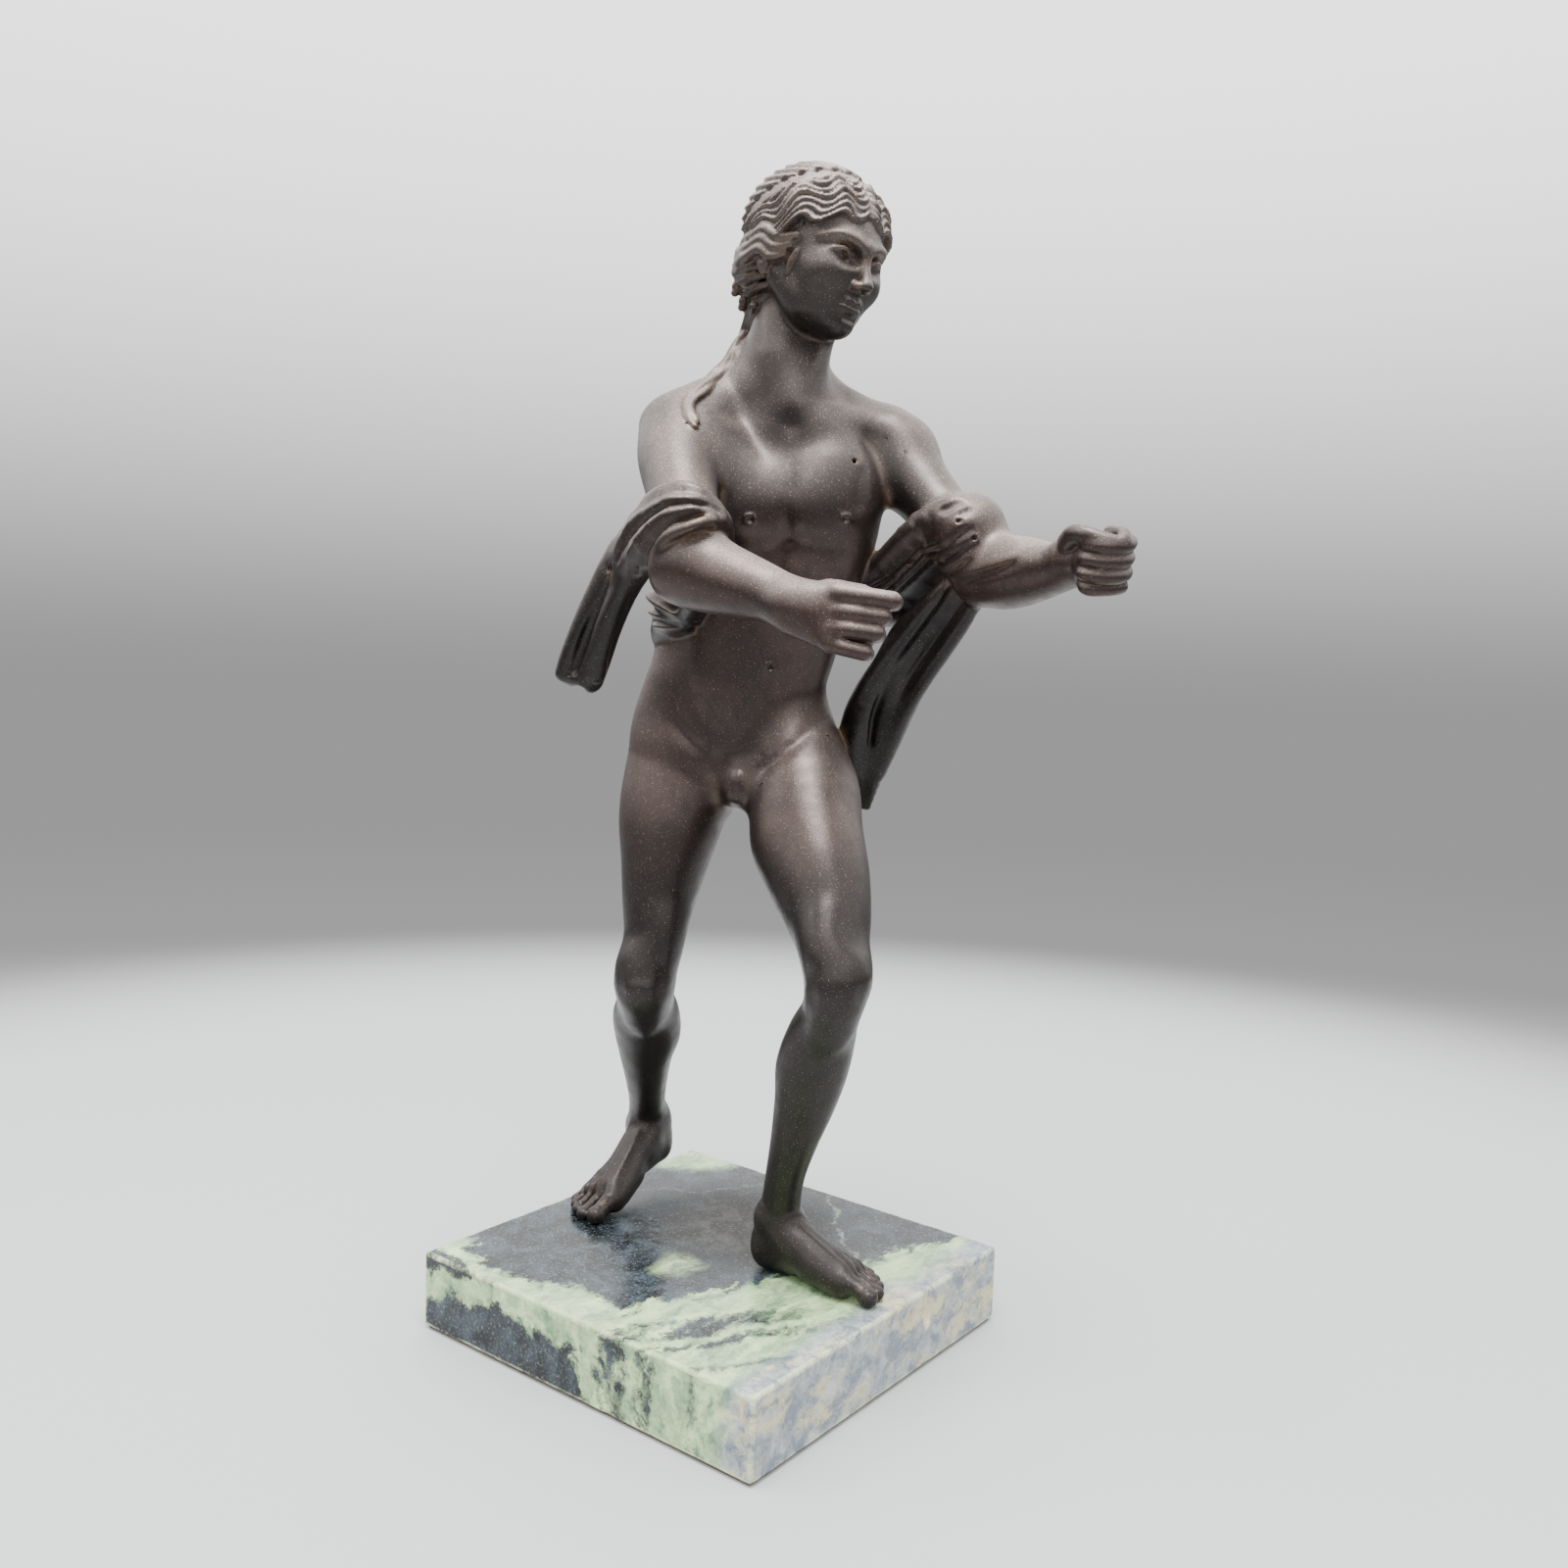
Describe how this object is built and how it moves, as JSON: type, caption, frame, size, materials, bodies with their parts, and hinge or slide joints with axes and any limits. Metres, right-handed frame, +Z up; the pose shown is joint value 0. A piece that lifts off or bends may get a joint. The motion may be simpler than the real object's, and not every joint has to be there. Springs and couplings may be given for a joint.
{
  "type": "grand tour bronze statuette",
  "caption": "Cast bronze nude archer youth striding with fists forward and a mantle over his forearms, on a bevelled green marble slab with a felt underside.",
  "frame": {"origin": "middle of the felt's underside, on the surface that the statuette stands on", "axes": "+Z up; X along the slab's longer side and Y along its shorter side; the figure faces between -Y and +X, turned 37.7 degrees about +Z from -Y"},
  "size_m": [0.1622, 0.1054, 0.2993],
  "materials": {
    "patinated_bronze": "cast bronze with a dark brown to black patina, semi-gloss on the worn high places, dusty in the hollows",
    "serpentine_marble": "polished green serpentine marble, mint to black-green with grey veins, dusty on top",
    "brown_felt": "thin brown felt"
  },
  "bodies": {
    "root": {"bronze_figure": "patinated_bronze", "marble_slab": "serpentine_marble", "felt_pad": "brown_felt"}
  },
  "joints": []
}
